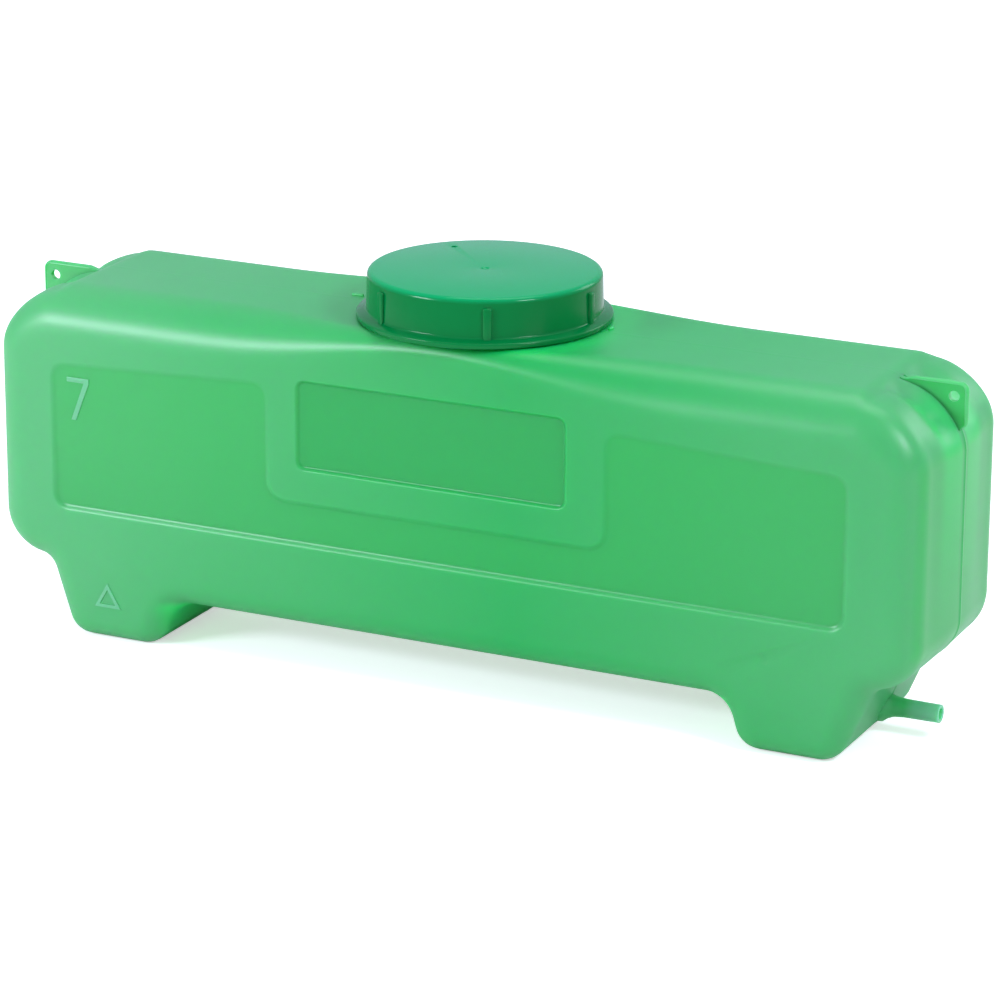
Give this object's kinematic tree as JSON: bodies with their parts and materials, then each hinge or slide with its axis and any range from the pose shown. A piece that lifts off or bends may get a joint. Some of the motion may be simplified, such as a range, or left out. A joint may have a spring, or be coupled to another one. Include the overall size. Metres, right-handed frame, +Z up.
{
  "type": "hanging water tank",
  "caption": "Translucent green plastic water tank with a wide screw cap, two feet, hanging lugs at the ends and a hose spigot low on one end.",
  "frame": {"origin": "on the floor under the neck axis, midway between the ends and between the front and back faces", "axes": "+X along the tank towards the end with the hose spigot, +Y from the front face to the back face, +Z up along the neck"},
  "size_m": [0.4726, 0.1186, 0.1926],
  "materials": {
    "tank_hdpe": "translucent blow-moulded polyethylene with a satin sheen",
    "cap_pp": "smooth injection-moulded polypropylene",
    "gasket_rubber": "soft pale food-grade rubber"
  },
  "bodies": {
    "tank": {"tank_shell": "tank_hdpe"},
    "gasket": {"cap_gasket": "gasket_rubber"},
    "cap": {"screw_cap": "cap_pp"}
  },
  "joints": [
    {"name": "cap_lift", "type": "slide", "parent": "tank", "child": "gasket", "axis": [0, 0, 1], "range_m": [0, 0.01]},
    {"name": "cap_turn", "type": "hinge", "parent": "gasket", "child": "cap", "pos_m": [0, 0, 0.18], "axis": [0, 0, 1], "range_deg": [0, 450]}
  ],
  "couplings": [
    {"joint": "cap_lift", "follows": "cap_turn", "m_per_rad": 0.0012732}
  ]
}
